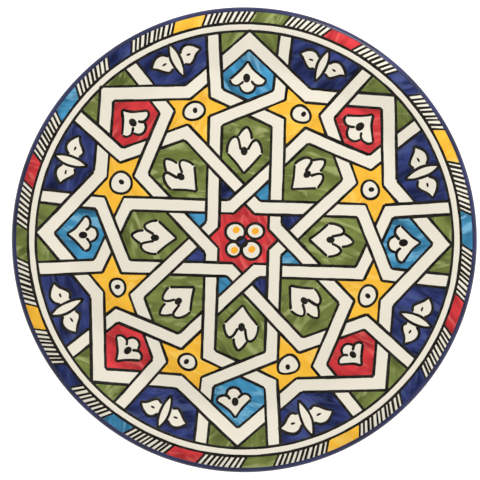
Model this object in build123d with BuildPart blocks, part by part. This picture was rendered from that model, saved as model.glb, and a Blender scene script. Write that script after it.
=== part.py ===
"""Hand painted ceramic plate: one fired body with its glaze and colour coats.

The plate rests on the plane Z = 0 with its axis on Z. Millimetres throughout.
The clay body, its foot ring and the glaze coats are turned sections. Every paint
coat is a flat sketch cut out of one thin skin that follows the glazed face.
The strapwork comes from eight equal straps and one eight-pointed loop, and each
colour field is the gap that they leave between them.
"""
from build123d import *
from math import atan, atan2, cos, degrees, hypot, radians, sin, sqrt
import os

# ---- turned form: radii, heights and thicknesses ----
plate_r = 135.0
well_r = 100.0           # flat painted well
wall_top_r = 126.0       # top of the raised wall, where the face rolls over
face_end_r = 132.8       # where the face turns down into the lip
well_z = 13.0            # clay surface in the well
crest_z = 19.9           # where the wall and the border would meet without their curve
lip_z = 19.1             # clay surface where the face ends
clay_t = 6.0             # clay thickness in the well and the wall
lip_t = 5.0              # clay thickness at the lip
foot_outer_r = 78.0
foot_inner_r = 71.0
foot_spread = 3.0        # the foot is this much wider each side where it joins the body
foot_edge_r = 1.0        # rounding of the bare bearing edge
glaze_t = 0.5
paint_t = 0.2            # colour stands this proud of the glaze
rim_w = 1.5              # width of the cobalt line, where the face turns into the lip
well_curve = 30.0        # radii of the curves into and out of the raised wall
crest_curve = 20.0

# ---- rings and border ----
field_r = 121.1          # inner black ring, round the strapwork
border_r = 125.8         # outer black ring, inside the border blocks
brush_w = 1.3            # width of a black brush line
coat_gap = 0.06          # bare glaze left between a colour and its outline
block_span = 9.2         # degrees along the border that one colour block takes
lean = 1.9               # degrees that the border strokes lean clockwise on their way out
hatch_strokes = 7        # strokes between two neighbouring blocks
blocks = [               # colour and middle angle of each border block, clockwise from the top
    ("green", 84), ("red", 64), ("navy", 45), ("yellow", 25), ("sky", 3), ("red", -18),
    ("navy", -39), ("yellow", -62), ("green", -84), ("red", -104), ("sky", -123), ("navy", -142),
    ("yellow", -158), ("green", -179), ("red", -196), ("sky", -217), ("navy", -235), ("yellow", -255),
]

# ---- strapwork, on a strap whose axis lies half a step from X ----
copies = 8
step = 360 / copies
strap_w = 7.9            # strap width between the middles of its two outlines
loop_w = 8.3
bend_r = 19.8            # the strap's inner bend, from the plate's centre
knee_y = 68.0            # first turn, straight up the leg from the bend
elbow = (-18.4, 84.0)    # second turn, past the neighbouring spoke
strap_end_x = -21.3      # where the strap's middle meets the ring
loop_tip_r = 115.6
loop_bend_r = 91.2
drawing_turn = -1.7      # the painted drawing sits a little askew on the plate
drawing_shift = (-0.5, 0.6)

# ---- motifs ----
petal_bud_r = 52.3       # distances from the centre
kite_bud_r = 93.3
eye_r = 79.2
butterfly_r = 109.9
petal_bud_l = 27.0       # lengths and diameters
kite_bud_l = 18.6
eye_d = 12.6
eye_dot_d = 2.8
heart_d = 4.4
flower_r = 7.4
flower_petal_d = 10.4
flower_dot_d = 3.8
flower_heart_d = 5.4
leaf = (18.4, 4.4)       # butterfly's middle leaf: length and width
wing = (11.0, 7.4)
wing_dash = 2.2

os.makedirs("parts", exist_ok=True)


def write(part, name):
    """Label a finished piece and write it as one STEP file."""
    part.label = name
    export_step(part, f"parts/{name}.step")


# ---- clay, foot and glaze: turned sections, drawn as (radius, height) ----
back_z = well_z - clay_t
lip_back_z = lip_z - lip_t
face_line = [(0, well_z), (well_r, well_z), (wall_top_r, crest_z), (face_end_r, lip_z)]
back_line = [(face_end_r, lip_back_z), (wall_top_r, crest_z - clay_t), (well_r, back_z), (0, back_z)]
lip_mid_z = (lip_z + lip_back_z) / 2
lip_tip = (plate_r - glaze_t, lip_mid_z)
glaze_tip = (plate_r, lip_mid_z)


def lifted(points, height):
    """The same line of the section at another height."""
    return [(x, y + height) for x, y in points]


face_curves = [well_curve, crest_curve]
back_curves = [crest_curve, well_curve]

with BuildPart() as clay_body:
    with BuildSketch(Plane.XZ):
        with BuildLine():
            FilletPolyline(*face_line, radius=face_curves)
            ThreePointArc(face_line[-1], lip_tip, back_line[0])
            FilletPolyline(*back_line, radius=back_curves)
            Line(back_line[-1], face_line[0])
        make_face()
    revolve(axis=Axis.Z)
write(clay_body.part, "clay_body")

foot_join = (foot_inner_r - foot_spread, foot_outer_r + foot_spread)
with BuildPart() as foot_ring:
    with BuildSketch(Plane.XZ):
        with BuildLine():
            Polyline(
                (foot_inner_r, 0), (foot_outer_r, 0),
                (foot_join[1], back_z), (foot_join[0], back_z), close=True,
            )
        make_face()
    revolve(axis=Axis.Z)
    fillet(foot_ring.faces().sort_by(Axis.Z)[0].edges(), foot_edge_r)
write(foot_ring.part, "foot_ring")

glaze_face = lifted(face_line, glaze_t)
glaze_back = lifted(back_line, -glaze_t)
with BuildPart() as front_glaze:
    with BuildSketch(Plane.XZ):
        with BuildLine():
            FilletPolyline(*glaze_face, radius=face_curves)
            ThreePointArc(glaze_face[-1], glaze_tip, glaze_back[0])
            Line(glaze_back[0], back_line[0])
            ThreePointArc(back_line[0], lip_tip, face_line[-1])
            FilletPolyline(*face_line, radius=face_curves)
            Line(face_line[0], glaze_face[0])
        make_face()
    revolve(axis=Axis.Z)
write(front_glaze.part, "front_glaze")

back_glaze_end = foot_join[1] + glaze_t
with BuildPart() as back_glaze:
    with BuildSketch(Plane.XZ):
        with BuildLine():
            FilletPolyline(*back_line[:3], (back_glaze_end, back_z), radius=back_curves)
            Line((back_glaze_end, back_z), (back_glaze_end, back_z - glaze_t))
            FilletPolyline(*glaze_back[:3], (back_glaze_end, back_z - glaze_t), radius=back_curves)
            Line(glaze_back[0], back_line[0])
        make_face()
    revolve(axis=Axis.Z)
write(back_glaze.part, "back_glaze")

with BuildPart() as foot_well_glaze:
    with BuildSketch(Plane.XY.offset(back_z - glaze_t)):
        Circle(foot_join[0] - glaze_t)
    extrude(amount=glaze_t)
write(foot_well_glaze.part, "foot_well_glaze")

# ---- the thin skin that every colour coat is cut from ----
paint_face = lifted(glaze_face, paint_t)
with BuildPart() as paint_skin:
    with BuildSketch(Plane.XZ):
        with BuildLine():
            FilletPolyline(*glaze_face, radius=face_curves)
            FilletPolyline(*paint_face, radius=face_curves)
            Line(glaze_face[0], paint_face[0])
            Line(glaze_face[-1], paint_face[-1])
        make_face()
    revolve(axis=Axis.Z)


def coat(name, faces, reserved=()):
    """Write one coat: flat faces seen from above, less what is left bare, on the skin."""
    with BuildPart() as layer:
        with BuildSketch():
            add(faces)
            if reserved:
                add(reserved, mode=Mode.SUBTRACT)
        extrude(amount=lip_z + clay_t)
        add(paint_skin.part, mode=Mode.INTERSECT)
    write(layer.part, name)


# ---- points and lines of the drawing ----
def turned(point, angle):
    """A point turned about the plate's centre by an angle in degrees."""
    c, s = cos(radians(angle)), sin(radians(angle))
    return (point[0] * c - point[1] * s, point[0] * s + point[1] * c)


def drawn(point):
    """A point of the true pattern, where the askew drawing puts it."""
    x, y = turned(point, drawing_turn)
    return (x + drawing_shift[0], y + drawing_shift[1])


def beside(points, distance, closed=False):
    """A polyline moved sideways, to the left of its own direction, with sharp corners."""
    count = len(points)
    moved = []
    for i, (x, y) in enumerate(points):
        before = points[i - 1] if i > 0 or closed else None
        after = points[(i + 1) % count] if i < count - 1 or closed else None
        ways = [unit(a, b) for a, b in ((before, (x, y)), ((x, y), after)) if a and b]
        normals = [(-v, u) for u, v in ways]
        total = (sum(n[0] for n in normals), sum(n[1] for n in normals))
        reach = distance * len(normals) / (total[0] ** 2 + total[1] ** 2)
        moved.append((x + total[0] * reach, y + total[1] * reach))
    return moved


def unit(a, b):
    """The direction from one point to another."""
    length = hypot(b[0] - a[0], b[1] - a[1])
    return ((b[0] - a[0]) / length, (b[1] - a[1]) / length)


def meet(first, second):
    """Where two straight lines, each given by two points, cross."""
    (ax, ay), (bx, by) = first
    (cx, cy), (dx, dy) = second
    below = (bx - ax) * (dy - cy) - (by - ay) * (dx - cx)
    along = ((cx - ax) * (dy - cy) - (cy - ay) * (dx - cx)) / below
    return (ax + (bx - ax) * along, ay + (by - ay) * along)


def on_ring(line, radius):
    """Where a line, drawn outwards from its first point, meets a ring about the centre."""
    (ax, ay), (bx, by) = line
    ux, uy = unit((ax, ay), (bx, by))
    middle = ax * ux + ay * uy
    reach = sqrt(middle ** 2 - (ax ** 2 + ay ** 2 - radius ** 2)) - middle
    return (ax + ux * reach, ay + uy * reach)


# ---- straps: R3 R2 R1 BEND L1 L2 L3, and the loop: tip, bend, tip, bend ... ----
bend = turned((bend_r, 0), step / 2)
left_leg = [(bend[0], knee_y), elbow, (strap_end_x, sqrt(field_r ** 2 - strap_end_x ** 2))]
right_leg = [turned((x, -y), step) for x, y in left_leg]
strap = [*reversed(right_leg), bend, *left_leg]
straps = [[drawn(turned(p, step * k)) for p in strap] for k in range(copies)]
loop_radii = [loop_tip_r, loop_bend_r] * copies
loop = [drawn(turned((r, 0), step / 2 * i)) for i, r in enumerate(loop_radii)]
R3, R2, R1, BEND, L1, L2, L3 = range(7)


class Lines:
    """The outlines of every strap and of the loop, at one distance from their middles."""

    def __init__(self, extra):
        self.straps = {}
        for side in (1, -1):
            self.straps[side] = [beside(s, side * (strap_w / 2 + extra)) for s in straps]
        self.loop = {side: beside(loop, side * (loop_w / 2 + extra), True) for side in (1, -1)}

    def corner(self, k, at, side):
        """Corner of strap k; side 1 faces the plate's centre, side -1 lies between its legs."""
        return self.straps[side][k % copies][at]

    def edge(self, k, start, side):
        """Straight stretch of strap k from one of its corners to the next."""
        return self.straps[side][k % copies][start:start + 2]

    def loop_corner(self, i, side):
        """Corner of the loop; even corners are tips, and side 1 faces the centre."""
        return self.loop[side][i % (2 * copies)]

    def loop_edge(self, i, side):
        """Straight stretch of the loop from corner i to the next, counter-clockwise."""
        return [self.loop_corner(i, side), self.loop_corner(i + 1, side)]


# ---- colour fields between the straps ----
fields = Lines(brush_w / 2 + coat_gap)
field_ring = field_r - brush_w / 2 - coat_gap


def face(points):
    """A flat face with straight sides."""
    return Face(Wire.make_polygon([Vector(*p) for p in points]))


def rim_face(points):
    """A flat face whose last side follows the ring."""
    angles = [atan2(y, x) for x, y in (points[0], points[-1])]
    if abs(angles[0] - angles[1]) > radians(180):
        angles[angles.index(min(angles))] += radians(360)
    middle = turned((field_ring, 0), degrees(sum(angles) / 2))
    with BuildSketch() as field:
        with BuildLine():
            Polyline(*points)
            ThreePointArc(points[-1], middle, points[0])
        make_face()
    return field.sketch


def centre_star():
    points = []
    for k in range(copies):
        points.append(fields.corner(k, BEND, 1))
        points.append(meet(fields.edge(k, BEND, 1), fields.edge(k + 1, R1, 1)))
    return face(points)


def chip(k):
    """Small four-sided field outside strap k's bend."""
    return face([
        fields.corner(k, BEND, -1),
        meet(fields.edge(k, BEND, -1), fields.edge(k + 1, R1, 1)),
        meet(fields.edge(k + 1, R1, 1), fields.edge(k - 1, BEND, 1)),
        meet(fields.edge(k - 1, BEND, 1), fields.edge(k, R1, -1)),
    ])


def petal(j):
    """Six-sided green field on spoke j, at j steps from X."""
    return face([
        meet(fields.edge(j - 1, BEND, -1), fields.edge(j, R1, -1)),
        meet(fields.edge(j, R1, -1), fields.edge(j - 2, BEND, 1)),
        fields.corner(j - 2, L1, 1),
        meet(fields.edge(j - 2, L1, 1), fields.edge(j + 1, R2, 1)),
        fields.corner(j + 1, R1, 1),
        meet(fields.edge(j + 1, R1, 1), fields.edge(j - 1, BEND, -1)),
    ])


def star(k):
    """Five-pointed field on the axis of strap k."""
    return face([
        meet(fields.edge(k - 1, BEND, -1), fields.edge(k + 1, R1, -1)),
        fields.corner(k + 1, R1, -1),
        meet(fields.edge(k + 1, R2, -1), fields.edge(k - 2, L1, 1)),
        fields.corner(k - 2, L2, 1),
        meet(fields.edge(k - 2, L2, 1), fields.loop_edge(2 * k, 1)),
        fields.loop_corner(2 * k + 1, 1),
        meet(fields.edge(k + 2, R3, 1), fields.loop_edge(2 * k + 1, 1)),
        fields.corner(k + 2, R2, 1),
        meet(fields.edge(k + 2, R2, 1), fields.edge(k - 1, L1, -1)),
        fields.corner(k - 1, L1, -1),
    ])


def kite(j):
    """Six-sided outer field on spoke j."""
    return face([
        meet(fields.edge(j - 2, L1, -1), fields.edge(j + 1, R2, -1)),
        fields.corner(j + 1, R2, -1),
        meet(fields.edge(j + 1, R3, -1), fields.loop_edge(2 * j - 1, 1)),
        fields.loop_corner(2 * j, 1),
        meet(fields.edge(j - 2, L2, -1), fields.loop_edge(2 * j, 1)),
        fields.corner(j - 2, L2, -1),
    ])


def rim_field(k):
    """Field between the loop's bend on the axis of strap k and the ring."""
    left, right = fields.edge(k + 2, R3, 1), fields.edge(k - 2, L2, 1)
    return rim_face([
        on_ring(right, field_ring),
        meet(right, fields.loop_edge(2 * k, -1)),
        fields.loop_corner(2 * k + 1, -1),
        meet(left, fields.loop_edge(2 * k + 1, -1)),
        on_ring(left[::-1], field_ring),
    ])


def rim_triangles(j):
    """The two small fields beside the loop's tip on spoke j."""
    left, right = fields.edge(j - 2, L2, -1), fields.edge(j + 1, R3, -1)
    before, after = fields.loop_edge(2 * j - 1, -1), fields.loop_edge(2 * j, -1)
    return [
        rim_face([on_ring(left, field_ring), meet(left, after), on_ring(after[::-1], field_ring)]),
        rim_face([on_ring(before, field_ring), meet(right, before), on_ring(right[::-1], field_ring)]),
    ]


# ---- motifs, each drawn round its own middle with X pointing to its tip ----
def placed(shapes, radius, angle, facing=0):
    """Shapes moved to a spot of the drawing, facing outwards plus an angle."""
    x, y = drawn(turned((radius, 0), angle))
    spot = Location((x, y, 0), (0, 0, angle + drawing_turn + facing))
    return [shape.moved(spot) for shape in shapes]


def bud_shape(length):
    """Pointed leaf with two side lobes and a middle lobe."""
    tip, shoulder, notch = (0.5, 0), (-0.08, 0.36), (-0.27, 0.14)
    with BuildSketch() as bud:
        with BuildLine():
            ThreePointArc(tip, (0.22, 0.22), shoulder)
            ThreePointArc(shoulder, (-0.3, 0.34), notch)
            mirror(about=Plane.XZ)
            ThreePointArc(notch, (-0.5, 0), (notch[0], -notch[1]))
        make_face()
        scale(by=length)
    return bud.sketch


def almond(length, width, middle=(0, 0), turn=0):
    """Leaf with two pointed ends."""
    with BuildSketch() as shape:
        with BuildLine():
            ThreePointArc((-length / 2, 0), (0, width / 2), (length / 2, 0))
            ThreePointArc((length / 2, 0), (0, -width / 2), (-length / 2, 0))
        make_face()
    return shape.sketch.moved(Location((*middle, 0), (0, 0, turn)))


def disc(diameter, middle=(0, 0)):
    """Round spot."""
    with BuildSketch() as spot:
        with Locations(middle):
            Circle(diameter / 2)
    return spot.sketch


def grown(shape, amount):
    """The same shape, larger or smaller by a distance all round."""
    with BuildSketch() as larger:
        add(shape)
        offset(amount=amount, kind=Kind.ARC)
    return larger.sketch


def outlined(shapes):
    """The black outline of each shape."""
    rings = []
    for shape in shapes:
        with BuildSketch() as ring:
            add(grown(shape, brush_w / 2))
            add(grown(shape, -brush_w / 2), mode=Mode.SUBTRACT)
        rings.append(ring.sketch)
    return rings


def bare(shapes):
    """The glaze that a colour coat leaves bare under shapes and their outlines."""
    return [grown(shape, brush_w / 2 + coat_gap) for shape in shapes]


wing_spot = leaf[1] / 2 + wing[0] / 2
butterfly = [
    almond(*leaf),
    almond(*wing, middle=(0, wing_spot), turn=90),
    almond(*wing, middle=(0, -wing_spot), turn=90),
]
dashes = [disc(wing_dash, (0, wing_spot)), disc(wing_dash, (0, -wing_spot))]
flower_spots = [turned((flower_r, 0), step + 90 * n) for n in range(4)]
flower_petals = [disc(flower_petal_d, spot) for spot in flower_spots]
bud_heart = disc(heart_d)

spokes = [step * j for j in range(copies)]
axes = [step * (k + 0.5) for k in range(copies)]
petal_buds, sky_buds, red_buds, butterflies, eyes = [], [], [], [], []
hearts, wing_dashes, eye_dots = [], [], []
for j, angle in enumerate(spokes):
    petal_buds += placed([bud_shape(petal_bud_l)], petal_bud_r, angle, 180)
    hearts += placed([bud_heart], petal_bud_r, angle)
    kite_buds = red_buds if j % 2 else sky_buds
    kite_buds += placed([bud_shape(kite_bud_l)], kite_bud_r, angle)
    hearts += placed([bud_heart], kite_bud_r, angle)
for angle in axes:
    butterflies += placed(butterfly, butterfly_r, angle)
    wing_dashes += placed(dashes, butterfly_r, angle)
    eyes += placed([disc(eye_d)], eye_r, angle)
    eye_dots += placed([disc(eye_dot_d)], eye_r, angle)
flower = placed(flower_petals, 0, 0)
flower_heart = placed([disc(flower_heart_d)], 0, 0)
flower_dots = placed([disc(flower_dot_d, spot) for spot in flower_spots], 0, 0)

# ---- colour coats of the field ----
every = range(copies)
coat("centre_star_red", [centre_star()], bare(flower) + flower_heart)
coat("inner_chips_navy", [chip(k) for k in every if k % 2 == 0])
coat("inner_chips_sky", [chip(k) for k in every if k % 2 == 1])
coat("petal_fields_green", [petal(j) for j in every], bare(petal_buds))
coat("star_fields_yellow", [star(k) for k in every], bare(eyes))
coat("kite_fields_sky", [kite(j) for j in every if j % 2 == 0], bare(sky_buds))
coat("kite_fields_red", [kite(j) for j in every if j % 2 == 1], bare(red_buds))
coat("rim_fields_navy", [rim_field(k) for k in every], bare(butterflies))
coat("rim_triangles_green", [f for j in every for f in rim_triangles(j)])

# ---- black outlines and dots of the motifs ----
coat("bud_outlines", outlined(petal_buds + sky_buds + red_buds))
coat("bud_hearts", hearts)
coat("butterfly_outlines", outlined(butterflies) + wing_dashes)
coat("star_eye_outlines", outlined(eyes) + eye_dots)
coat("centre_flower_outlines", outlined(flower), flower_heart)
coat("centre_flower_heart", flower_heart)
coat("centre_flower_dots", flower_dots)

# ---- black outlines of the straps: each stops where its strap goes under another ----
lines = Lines(0)


def strap_runs(k, side):
    """The strokes along one side of strap k."""
    edges = [lines.edge(k, start, side) for start in range(L3)]
    loop_at = 2 * k - 3
    return [
        [on_ring(edges[R3][::-1], field_r), meet(edges[R3], lines.loop_edge(loop_at, -1))],
        [
            meet(edges[R3], lines.loop_edge(loop_at, 1)),
            lines.corner(k, R2, side),
            lines.corner(k, R1, side),
            meet(edges[R1], lines.edge(k - 2, BEND, -1)),
        ],
        [
            meet(edges[R1], lines.edge(k - 2, BEND, 1)),
            lines.corner(k, BEND, side),
            meet(edges[BEND], lines.edge(k + 1, R1, 1)),
        ],
        [
            meet(edges[BEND], lines.edge(k + 1, R1, -1)),
            lines.corner(k, L1, side),
            meet(edges[L1], lines.edge(k + 3, R2, 1)),
        ],
        [
            meet(edges[L1], lines.edge(k + 3, R2, -1)),
            lines.corner(k, L2, side),
            on_ring(edges[L2], field_r),
        ],
    ]


def loop_run(j, side):
    """The stroke of the loop from its bend past spoke j to its next tip."""
    return [
        meet(lines.loop_edge(2 * j, side), lines.edge(j - 2, L2, 1)),
        lines.loop_corner(2 * j + 1, side),
        lines.loop_corner(2 * j + 2, side),
        meet(lines.loop_edge(2 * j + 2, side), lines.edge(j - 1, L2, -1)),
    ]


runs = [loop_run(j, side) for j in every for side in (1, -1)]
for k in every:
    for side in (1, -1):
        runs += strap_runs(k, side)
run_lines = [Polyline(*run) for run in runs]
with BuildSketch() as strap_lines:
    trace(run_lines, line_width=brush_w)
    Circle(field_r - brush_w / 2, mode=Mode.INTERSECT)
coat("strap_outlines", [strap_lines.sketch])

with BuildSketch() as rings:
    for radius in (border_r, field_r):
        Circle(radius + brush_w / 2)
        Circle(radius - brush_w / 2, mode=Mode.SUBTRACT)
coat("ring_lines", [rings.sketch])

with BuildSketch() as rim:
    Circle(face_end_r + 1)
    Circle(face_end_r - rim_w, mode=Mode.SUBTRACT)
coat("rim_line", [rim.sketch])


# ---- border: slanted colour blocks with groups of slanted strokes between them ----
def across(angle, inner, outer):
    """A slanted line over the border from the inner to the outer radius."""
    shares = [(radius - border_r) / (face_end_r - border_r) for radius in (inner, outer)]
    return (turned((inner, 0), angle - lean * shares[0]), turned((outer, 0), angle - lean * shares[1]))


def border_block(middle):
    """One colour block, with its slanted ends and its two curved sides."""
    inner = border_r + brush_w / 2 + coat_gap
    outer = face_end_r - rim_w - coat_gap
    slope = atan(radians(lean) * border_r / (face_end_r - border_r))
    margin = degrees((brush_w / 2 + coat_gap) / cos(slope) / border_r)
    near, far = [middle + s * (block_span / 2 - margin) for s in (-1, 1)]
    start, end = across(near, inner, outer), across(far, inner, outer)
    centre_line = across(middle, inner, outer)
    with BuildSketch() as block:
        with BuildLine():
            Line(*start)
            ThreePointArc(start[1], centre_line[1], end[1])
            Line(end[1], end[0])
            ThreePointArc(end[0], centre_line[0], start[0])
        make_face()
    return block.sketch


for colour in ("green", "red", "navy", "yellow", "sky"):
    coat(f"border_blocks_{colour}", [border_block(a) for name, a in blocks if name == colour])

strokes = []
middles = [angle for name, angle in blocks]
for this, following in zip(middles, middles[1:] + [middles[0] - 360]):
    first, last = this - block_span / 2, following + block_span / 2
    for n in range(hatch_strokes + 2):
        angle = first + (last - first) * n / (hatch_strokes + 1)
        strokes.append(Line(*across(angle, border_r + brush_w / 4, face_end_r)))
with BuildSketch() as hatching:
    trace(strokes, line_width=brush_w)
    Circle(face_end_r - rim_w - coat_gap, mode=Mode.INTERSECT)
    Circle(border_r + brush_w / 2, mode=Mode.SUBTRACT)
coat("border_hatching", [hatching.sketch])
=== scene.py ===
"""Looks of the hand painted ceramic plate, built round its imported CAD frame.

The plate's clay, glaze and cobalt lip are turned from their sections. Every black
line is a brush stroke laid on the glaze, and every colour is a thin coat filled in
between the lines. The drawing is worked out in millimetres, as seen from above, and
then laid on the glazed face.
"""
import math
import random

import bpy
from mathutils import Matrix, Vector
from mathutils.geometry import delaunay_2d_cdt


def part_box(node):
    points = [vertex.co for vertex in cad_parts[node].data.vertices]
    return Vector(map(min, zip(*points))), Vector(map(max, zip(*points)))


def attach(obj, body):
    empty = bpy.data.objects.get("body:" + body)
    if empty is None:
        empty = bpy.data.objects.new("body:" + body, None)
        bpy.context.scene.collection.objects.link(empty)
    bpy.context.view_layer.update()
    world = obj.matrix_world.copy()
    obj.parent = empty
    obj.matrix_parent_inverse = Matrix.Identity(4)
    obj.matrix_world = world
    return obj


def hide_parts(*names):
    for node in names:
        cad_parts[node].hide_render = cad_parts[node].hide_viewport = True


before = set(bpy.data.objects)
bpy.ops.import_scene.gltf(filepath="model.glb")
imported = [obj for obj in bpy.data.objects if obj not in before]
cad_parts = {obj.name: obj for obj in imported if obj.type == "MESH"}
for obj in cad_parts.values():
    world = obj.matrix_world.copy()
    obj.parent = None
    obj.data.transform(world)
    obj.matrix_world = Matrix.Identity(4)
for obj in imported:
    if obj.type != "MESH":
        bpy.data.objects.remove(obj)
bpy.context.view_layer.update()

bl_info = {
    "name": "Hand Painted Ceramic Plate",
    "version": (1, 0, 0),
    "blender": (4, 5, 0),
    "location": "View3D > Sidebar > Plate",
    "description": "Builds a turned plate, its glaze and its painted strapwork",
    "category": "Object",
}

MM = 0.001

# ---- the turned form, read from the frame where it says, in millimetres ----
PLATE_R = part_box("front_glaze")[1].x / MM
GLAZE_T = 0.5
WELL_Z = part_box("petal_fields_green")[0].z / MM - GLAZE_T
FOOT_TOP_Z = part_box("foot_ring")[1].z / MM
CREST_Z, LIP_Z = WELL_Z + 6.9, WELL_Z + 6.1
CLAY_T = WELL_Z - FOOT_TOP_Z
LIP_T = 5.0
COBALT_T = 0.24
WELL_R, WALL_TOP_R, FACE_END_R = 100.0, 126.0, PLATE_R - 2.2
WELL_CURVE, CREST_CURVE = 30.0, 20.0
LIP_START_R = FACE_END_R - 0.3  # where the cobalt line starts on the face
FOOT_IN_R, FOOT_OUT_R, FOOT_SPREAD = 71.0, 78.0, 3.0

# ---- the painted drawing, in millimetres and degrees ----
COPIES = 8
STEP = 360 / COPIES
FIELD_R, BORDER_R = 121.1, 125.8
STRAP_W, LOOP_W = 7.9, 8.3
BEND_R, KNEE_Y, ELBOW, STRAP_END_X = 19.8, 68.0, (-18.4, 84.0), -21.3
LOOP_TIP_R, LOOP_BEND_R = 115.6, 91.2
DRAWING_TURN, DRAWING_SHIFT = -1.7, (-0.5, 0.6)
PETAL_BUD_R, KITE_BUD_R, BUTTERFLY_R, EYE_R = 52.3, 93.3, 109.9, 79.2
BLOCK_END_R, HATCH_END_R, HATCH_STEP = FACE_END_R - 0.15, FACE_END_R + 0.5, 1.33
LEAN = 1.9
# each block's colour, middle and width along the border, clockwise from the top
BLOCKS = [
    ("green", 84.5, 9.0), ("red", 65, 8.7), ("navy", 45.5, 8.0), ("yellow", 26, 9.5),
    ("sky", 3.5, 9.2), ("red", -18.5, 9.0), ("navy", -40, 8.7), ("yellow", -62.5, 9.3),
    ("green", -85, 8.5), ("red", -104.5, 8.5), ("sky", -123.5, 6.8), ("navy", -141.5, 7.2),
    ("yellow", -158.5, 6.8), ("green", -178, 8.7), ("red", -197, 7.5), ("sky", -216.5, 8.0),
    ("navy", -235, 7.0), ("yellow", -254.5, 8.3),
]
SEED = 11

# ---- the hand: how the brush strays and presses ----
SLOW_STRAY, QUICK_STRAY = 22.0, 130.0  # waves of the stray, per metre
QUICK_SHARE = 0.22                     # size of the quick waves beside the slow ones
SWELL_WAVES, SWELL, THINNEST = 95.0, 0.75, 0.62
TIP_SHARE = 0.12                       # a line's width at its very ends
HATCH_STRAY = 0.16                     # degrees


# ======================= settings =======================
def length_property(name, description, default, low, high):
    """One small length, in millimetres, that a user may change."""
    return bpy.props.FloatProperty(
        name=name, description=description, default=default * MM, min=low * MM, max=high * MM,
        unit="LENGTH", precision=5,
    )


class BrushSettings(bpy.types.PropertyGroup):
    """How the black lines are brushed."""

    width: length_property("Line width", "Width of a black brush line", 1.68, 0.3, 4)
    relief: length_property("Line relief", "How far a line stands above the glaze", 0.09, 0.02, 0.5)
    wander: length_property("Wander", "How far the hand strays from the true line", 0.9, 0, 4)
    seed: bpy.props.IntProperty(name="Seed", description="Seed of the hand's variation", default=SEED)


class CoatSettings(bpy.types.PropertyGroup):
    """How the colours are filled in."""

    relief: length_property("Coat relief", "How far a colour coat stands above the glaze", 0.07, 0.01, 0.4)
    grid: length_property("Mesh grid", "Spacing of the points inside a coat", 2.8, 1, 10)


def colour_property(name, description, default):
    """One glaze colour that a user may change."""
    return bpy.props.FloatVectorProperty(
        name=name, description=description, subtype="COLOR", size=3, min=0, max=1, default=default,
    )


class GlazeColours(bpy.types.PropertyGroup):
    """Fired colours, linear."""

    cream: colour_property("Cream", "Ground glaze", (0.85, 0.80, 0.685))
    clay: colour_property("Clay", "Bare fired clay of the foot", (0.55, 0.38, 0.25))
    black: colour_property("Black", "Brush lines", (0.010, 0.009, 0.008))
    cobalt: colour_property("Cobalt", "Line on the lip", (0.018, 0.022, 0.085))
    red: colour_property("Red", "Star, kites and blocks", (0.60, 0.043, 0.050))
    green: colour_property("Green", "Petals, triangles and blocks", (0.155, 0.190, 0.050))
    navy: colour_property("Navy", "Rim fields, chips and blocks", (0.024, 0.034, 0.125))
    sky: colour_property("Sky", "Kites, chips and blocks", (0.050, 0.240, 0.430))
    yellow: colour_property("Yellow", "Stars and blocks", (0.98, 0.52, 0.050))
    orange: colour_property("Orange", "Dots of the centre flower", (0.98, 0.45, 0.035))


class PlateSettings(bpy.types.PropertyGroup):
    """Everything that a user may change."""

    brush: bpy.props.PointerProperty(type=BrushSettings)
    coat: bpy.props.PointerProperty(type=CoatSettings)
    colours: bpy.props.PointerProperty(type=GlazeColours)
    turning_steps: bpy.props.IntProperty(
        name="Turning steps", description="Facets round the plate", default=300, min=48, max=720,
    )


def settings():
    """The scene's own settings of the plate."""
    return bpy.context.scene.plate_settings


# ======================= plane geometry =======================
def turned(point, angle):
    """A point turned about the plate's centre by an angle in degrees."""
    c, s = math.cos(math.radians(angle)), math.sin(math.radians(angle))
    return (point[0] * c - point[1] * s, point[0] * s + point[1] * c)


def drawn(point):
    """A point of the true pattern, where the askew drawing puts it."""
    x, y = turned(point, DRAWING_TURN)
    return (x + DRAWING_SHIFT[0], y + DRAWING_SHIFT[1])


def unit(a, b):
    """The direction from one point to another."""
    length = math.hypot(b[0] - a[0], b[1] - a[1])
    return ((b[0] - a[0]) / length, (b[1] - a[1]) / length)


def beside(points, distance, closed=False):
    """A polyline moved sideways, to the left of its own direction, with sharp corners."""
    count = len(points)
    moved = []
    for i, (x, y) in enumerate(points):
        before = points[i - 1] if i > 0 or closed else None
        after = points[(i + 1) % count] if i < count - 1 or closed else None
        ways = [unit(a, b) for a, b in ((before, (x, y)), ((x, y), after)) if a and b]
        normals = [(-v, u) for u, v in ways]
        total = (sum(n[0] for n in normals), sum(n[1] for n in normals))
        reach = distance * len(normals) / (total[0] ** 2 + total[1] ** 2)
        moved.append((x + total[0] * reach, y + total[1] * reach))
    return moved


def meet(first, second):
    """Where two straight lines, each given by two points, cross."""
    (ax, ay), (bx, by) = first
    (cx, cy), (dx, dy) = second
    below = (bx - ax) * (dy - cy) - (by - ay) * (dx - cx)
    along = ((cx - ax) * (dy - cy) - (cy - ay) * (dx - cx)) / below
    return (ax + (bx - ax) * along, ay + (by - ay) * along)


def on_ring(line, radius):
    """Where a line, drawn outwards from its first point, meets a ring about the centre."""
    (ax, ay), (bx, by) = line
    ux, uy = unit((ax, ay), (bx, by))
    middle = ax * ux + ay * uy
    reach = math.sqrt(middle ** 2 - (ax ** 2 + ay ** 2 - radius ** 2)) - middle
    return (ax + ux * reach, ay + uy * reach)


def ring_arc(start, end, step=1.5):
    """Points of the ring between two of its points, the short way round."""
    radius = math.hypot(*start)
    a, b = math.atan2(start[1], start[0]), math.atan2(end[1], end[0])
    sweep = (b - a + math.pi) % (2 * math.pi) - math.pi
    count = max(2, int(abs(sweep) * radius / step))
    angles = [a + sweep * i / count for i in range(count + 1)]
    return [(radius * math.cos(t), radius * math.sin(t)) for t in angles]


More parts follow.
